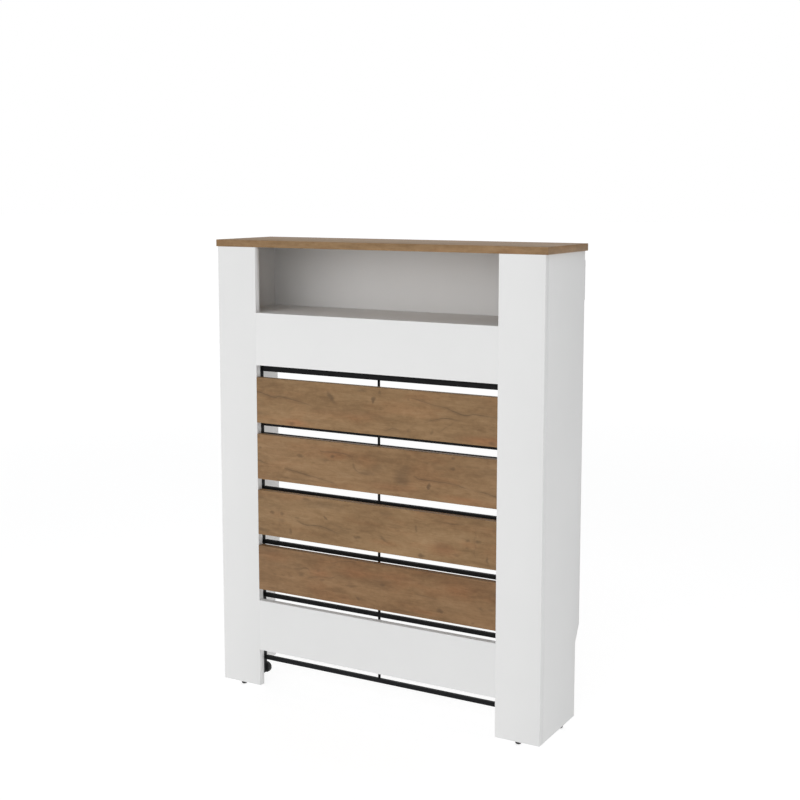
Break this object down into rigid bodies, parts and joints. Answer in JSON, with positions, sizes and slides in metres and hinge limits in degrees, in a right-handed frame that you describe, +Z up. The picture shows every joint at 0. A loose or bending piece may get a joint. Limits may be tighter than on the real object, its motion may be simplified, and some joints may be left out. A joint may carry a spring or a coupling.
{
  "type": "radiator cover cabinet",
  "caption": "Floor-standing radiator cover with an open niche under a wood-decor top, wood-decor front slats in a white frame, a black guard grille behind them and an open back.",
  "frame": {"origin": "on the floor under the glides, at the middle of the overall footprint", "axes": "+Z up, the front faces -Y, +X to the right seen from the front"},
  "size_m": [0.789, 0.2074, 1.005],
  "materials": {
    "white_board": "satin white melamine-faced board with matching edge band",
    "oak_decor": "matt oak-decor board with knots, cracks and dark streaks",
    "black_steel": "matt black powder coat",
    "black_plastic": "fine-textured moulded plastic",
    "white_plastic": "moulded plastic",
    "zinc": "bright zinc plate",
    "beech": "raw fluted beech"
  },
  "bodies": {
    "cabinet": {"left_side_panel": "white_board", "right_side_panel": "white_board", "left_stile": "white_board", "right_stile": "white_board", "upper_rail": "white_board", "lower_rail": "white_board", "niche_shelf": "white_board", "niche_back_panel": "white_board", "top_panel": "oak_decor", "slat_1": "oak_decor", "slat_2": "oak_decor", "slat_3": "oak_decor", "slat_4": "oak_decor", "corner_block_left_high": "white_plastic", "corner_block_left_low": "white_plastic", "corner_block_right_high": "white_plastic", "corner_block_right_low": "white_plastic", "dowel_lower_rail_left": "beech", "dowel_lower_rail_right": "beech", "dowel_slat_1_left": "beech", "dowel_slat_1_right": "beech", "dowel_slat_2_left": "beech", "dowel_slat_2_right": "beech", "dowel_slat_3_left": "beech", "dowel_slat_3_right": "beech", "dowel_slat_4_left": "beech", "dowel_slat_4_right": "beech", "dowel_upper_rail_left": "beech", "dowel_upper_rail_right": "beech", "glide_front_left": "black_plastic", "glide_front_right": "black_plastic", "glide_rear_left": "black_plastic", "glide_rear_right": "black_plastic", "grille_bar_1_top": "black_steel", "grille_bar_2": "black_steel", "grille_bar_3": "black_steel", "grille_bar_4": "black_steel", "grille_bar_5": "black_steel", "grille_bar_6": "black_steel", "grille_bar_7_bottom": "black_steel", "grille_centre_rod": "black_steel", "grille_post_left": "black_steel", "grille_post_right": "black_steel", "knob_stud_left": "zinc", "knob_stud_right": "zinc", "plate_screw_left_lower": "zinc", "plate_screw_left_upper": "zinc", "plate_screw_right_lower": "zinc", "plate_screw_right_upper": "zinc", "post_screw_left": "black_steel", "post_screw_right": "black_steel", "shelf_block_left_back": "white_plastic", "shelf_block_left_front": "white_plastic", "shelf_block_right_back": "white_plastic", "shelf_block_right_front": "white_plastic", "wall_plate_left": "zinc", "wall_plate_right": "zinc"},
    "left_knob": {"clamp_knob_left": "black_plastic"},
    "right_knob": {"clamp_knob_right": "black_plastic"}
  },
  "joints": [
    {"name": "left_knob_turn", "type": "hinge", "parent": "cabinet", "child": "left_knob", "pos_m": [-0.297, -0.07025, 0.0384], "axis": [0, 1, 0], "continuous": true},
    {"name": "right_knob_turn", "type": "hinge", "parent": "cabinet", "child": "right_knob", "pos_m": [0.297, -0.07025, 0.0384], "axis": [0, 1, 0], "continuous": true}
  ]
}
